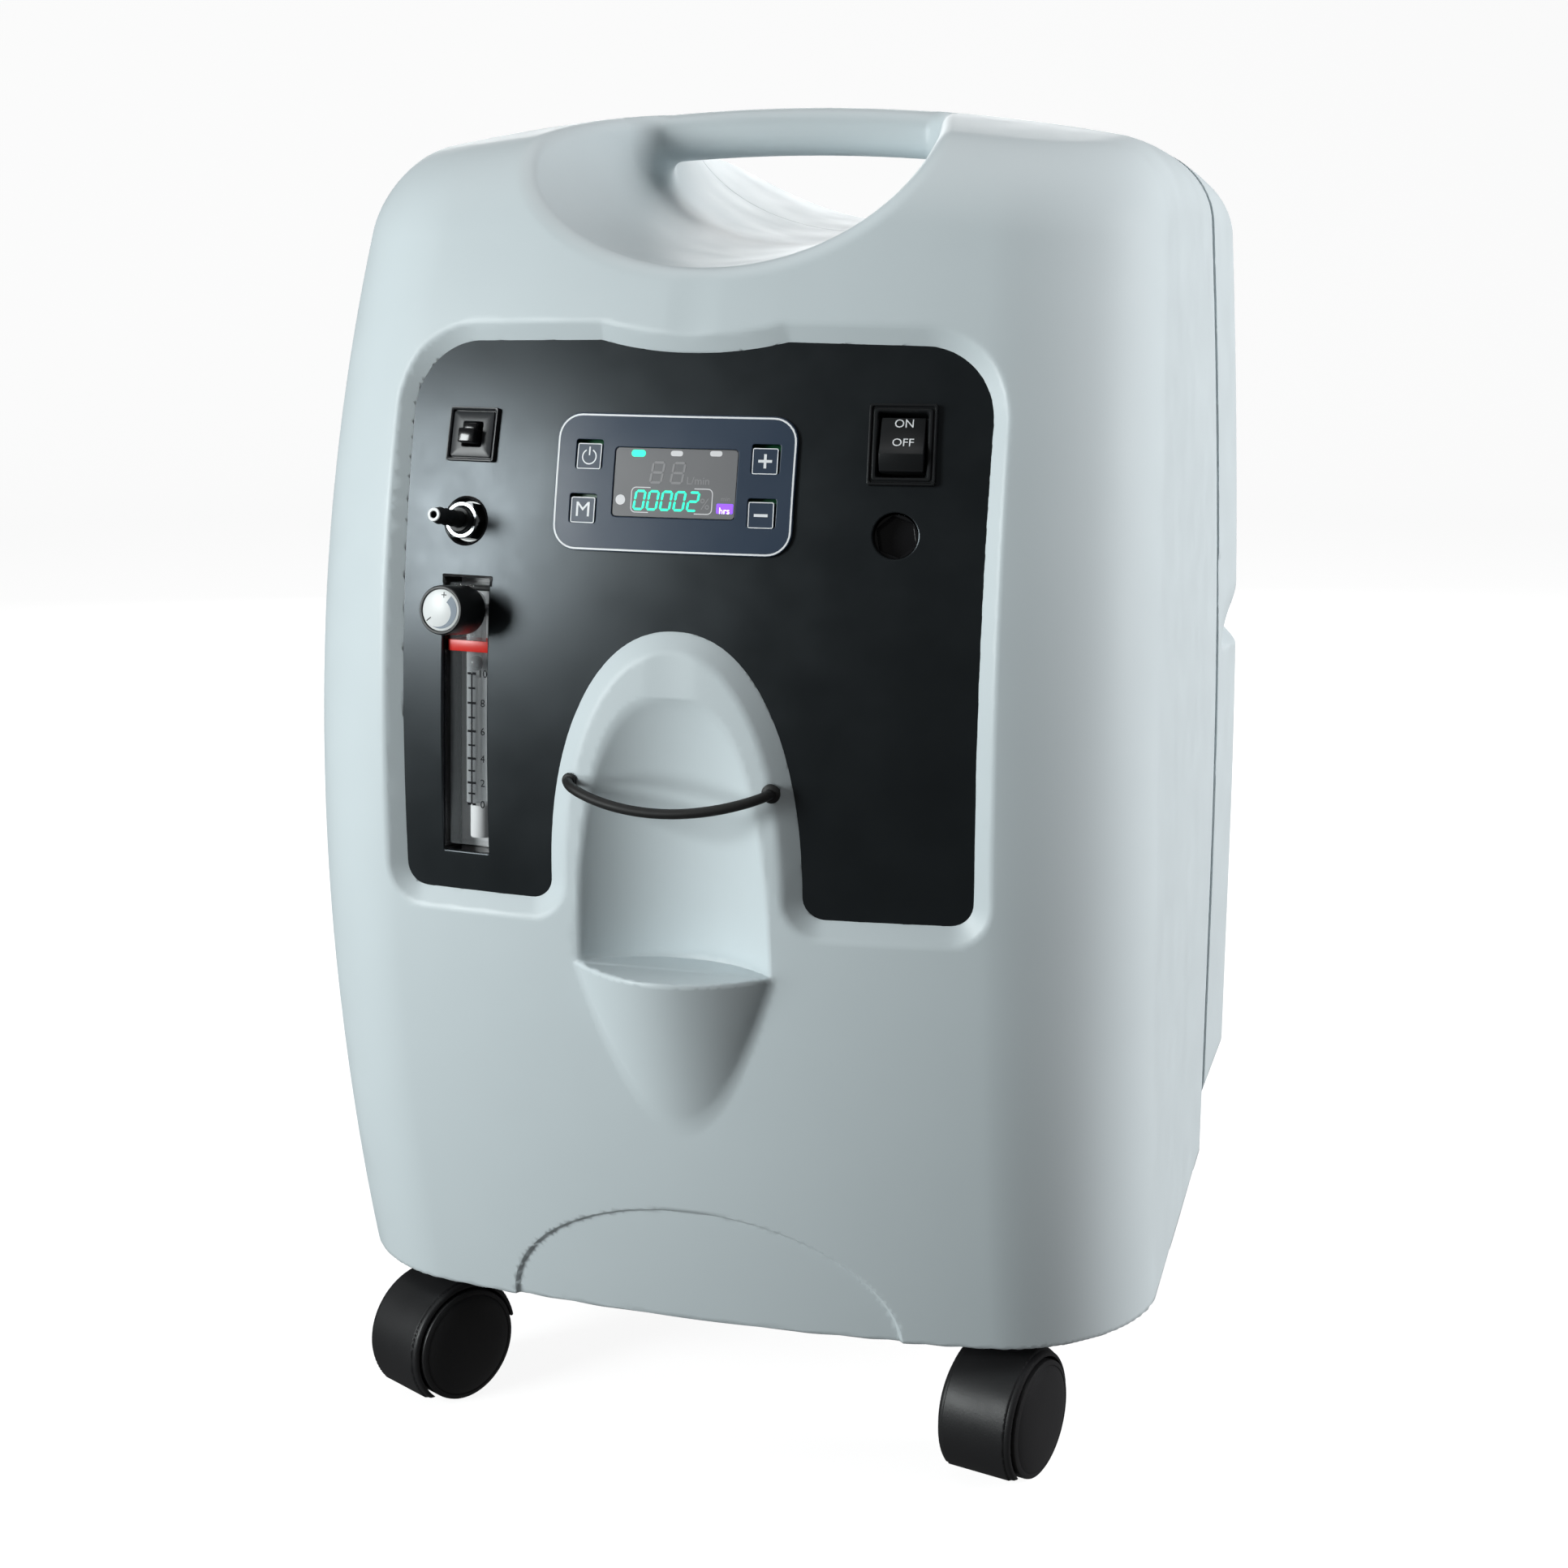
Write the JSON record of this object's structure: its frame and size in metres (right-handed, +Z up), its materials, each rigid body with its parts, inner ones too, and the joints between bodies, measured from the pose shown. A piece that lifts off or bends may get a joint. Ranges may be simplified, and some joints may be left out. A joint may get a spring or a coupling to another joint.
{
  "type": "oxygen concentrator",
  "caption": "Upright oxygen concentrator on twin-wheel casters, with a recessed carrying handle, a black control panel with flowmeter and display, and a humidifier niche.",
  "frame": {"origin": "bottom centre of the overall bounding box, on the floor under the casters", "axes": "+Z up, the control panel faces -Y, and +X is on the right-hand side for someone who looks at the panel"},
  "size_m": [0.36, 0.4118, 0.5606],
  "materials": {
    "shell": "fine matte, pale grey-blue",
    "panel": "satin black",
    "overlay": "satin printed film, slate blue",
    "screen": "grey display window",
    "black_plastic": "moulded black",
    "caster_plastic": "moulded black",
    "caster_tread": "black tread",
    "chrome": "polished",
    "steel": "plain sheet and bar",
    "aluminium": "cast and drawn",
    "copper": "bright copper tube",
    "acrylic": "clear acrylic",
    "red": "red band",
    "rubber": "matte black",
    "hose": "translucent silicone",
    "foam": "open-cell foam",
    "white_plastic": "white moulded",
    "circuit_board": "green board"
  },
  "bodies": {
    "casing": {"front_shell": "shell", "rear_shell": "shell", "control_panel": "panel", "display_overlay": "overlay", "display_module": "screen", "rocker_bezel": "black_plastic", "breaker_body": "black_plastic", "outlet_nut": "chrome", "outlet_barb": "black_plastic", "blank_plug": "black_plastic", "flowmeter_block": "acrylic", "flowmeter_band": "red", "humidifier_strap": "rubber", "base_tray": "steel", "compressor_motor": "aluminium", "compressor_head_left": "aluminium", "compressor_head_right": "aluminium", "compressor_mounts": "rubber", "fan_frame": "black_plastic", "sieve_bed_left": "aluminium", "sieve_bed_right": "aluminium", "product_tank": "aluminium", "valve_manifold": "aluminium", "cooling_coil": "copper", "intake_muffler": "black_plastic", "bacteria_filter": "white_plastic", "intake_filter": "foam", "intake_hose": "hose", "supply_hose": "hose", "product_hose": "hose", "chassis_plate": "steel", "control_board": "circuit_board", "motor_capacitor": "aluminium", "power_inlet": "black_plastic", "filter_cover": "black_plastic", "exhaust_grille": "black_plastic", "caster_stem_front_left": "steel", "caster_stem_front_right": "steel", "caster_stem_rear_left": "steel", "caster_stem_rear_right": "steel"},
    "key_power": {"key_power": "overlay"},
    "key_mode": {"key_mode": "overlay"},
    "key_plus": {"key_plus": "overlay"},
    "key_minus": {"key_minus": "overlay"},
    "rocker": {"rocker_button": "black_plastic"},
    "breaker": {"breaker_button": "black_plastic"},
    "valve_knob": {"flow_knob": "black_plastic", "valve_stem": "steel"},
    "float_ball": {"flowmeter_ball": "black_plastic"},
    "fan": {"fan_rotor": "black_plastic"},
    "caster_front_left": {"caster_hood_front_left": "caster_plastic"},
    "wheels_front_left": {"caster_wheels_front_left": "caster_tread"},
    "caster_front_right": {"caster_hood_front_right": "caster_plastic"},
    "wheels_front_right": {"caster_wheels_front_right": "caster_tread"},
    "caster_rear_left": {"caster_hood_rear_left": "caster_plastic"},
    "wheels_rear_left": {"caster_wheels_rear_left": "caster_tread"},
    "caster_rear_right": {"caster_hood_rear_right": "caster_plastic"},
    "wheels_rear_right": {"caster_wheels_rear_right": "caster_tread"}
  },
  "joints": [
    {"name": "press_key_power", "type": "slide", "parent": "casing", "child": "key_power", "axis": [0.0046, 0.9717, -0.2363], "range_m": [0, 0.0004], "stiffness_N_per_m": 2500},
    {"name": "press_key_mode", "type": "slide", "parent": "casing", "child": "key_mode", "axis": [0.0046, 0.9717, -0.2363], "range_m": [0, 0.0004], "stiffness_N_per_m": 2500},
    {"name": "press_key_plus", "type": "slide", "parent": "casing", "child": "key_plus", "axis": [0.0046, 0.9717, -0.2363], "range_m": [0, 0.0004], "stiffness_N_per_m": 2500},
    {"name": "press_key_minus", "type": "slide", "parent": "casing", "child": "key_minus", "axis": [0.0046, 0.9717, -0.2363], "range_m": [0, 0.0004], "stiffness_N_per_m": 2500},
    {"name": "rocker_tilt", "type": "hinge", "parent": "casing", "child": "rocker", "pos_m": [0.08476, -0.16018, 0.43017], "axis": [0.9938, 0.1112, 0], "range_deg": [0, 14]},
    {"name": "breaker_pop", "type": "slide", "parent": "casing", "child": "breaker", "axis": [-0.1138, -0.9573, 0.2659], "range_m": [0, 0.0035]},
    {"name": "valve_turn", "type": "hinge", "parent": "casing", "child": "valve_knob", "pos_m": [-0.08872, -0.17375, 0.36223], "axis": [0.1153, 0.9841, -0.1348], "range_deg": [0, 720]},
    {"name": "ball_drop", "type": "slide", "parent": "casing", "child": "float_ball", "axis": [-0.0064, -0.0541, -0.9985], "range_m": [0, 0.053]},
    {"name": "fan_spin", "type": "hinge", "parent": "casing", "child": "fan", "pos_m": [0, 0.02, 0.262], "axis": [0, 0, 1], "continuous": true},
    {"name": "swivel_front_left", "type": "hinge", "parent": "casing", "child": "caster_front_left", "pos_m": [-0.127, -0.116, 0.0535], "axis": [0, 0, 1], "continuous": true},
    {"name": "roll_front_left", "type": "hinge", "parent": "caster_front_left", "child": "wheels_front_left", "pos_m": [-0.13202, -0.12545, 0.025], "axis": [0.8829, -0.4695, 0], "continuous": true},
    {"name": "swivel_front_right", "type": "hinge", "parent": "casing", "child": "caster_front_right", "pos_m": [0.127, -0.116, 0.0535], "axis": [0, 0, 1], "continuous": true},
    {"name": "roll_front_right", "type": "hinge", "parent": "caster_front_right", "child": "wheels_front_right", "pos_m": [0.12423, -0.12634, 0.025], "axis": [0.9659, -0.2588, 0], "continuous": true},
    {"name": "swivel_rear_left", "type": "hinge", "parent": "casing", "child": "caster_rear_left", "pos_m": [-0.127, 0.128, 0.0535], "axis": [0, 0, 1], "continuous": true},
    {"name": "roll_rear_left", "type": "hinge", "parent": "caster_rear_left", "child": "wheels_rear_left", "pos_m": [-0.12886, 0.13854, 0.025], "axis": [-0.9848, -0.1736, 0], "continuous": true},
    {"name": "swivel_rear_right", "type": "hinge", "parent": "casing", "child": "caster_rear_right", "pos_m": [0.127, 0.128, 0.0535], "axis": [0, 0, 1], "continuous": true},
    {"name": "roll_rear_right", "type": "hinge", "parent": "caster_rear_right", "child": "wheels_rear_right", "pos_m": [0.12977, 0.13834, 0.025], "axis": [-0.9659, 0.2588, 0], "continuous": true}
  ],
  "couplings": [
    {"joint": "ball_drop", "follows": "valve_turn", "m_per_rad": 0.0042172}
  ]
}
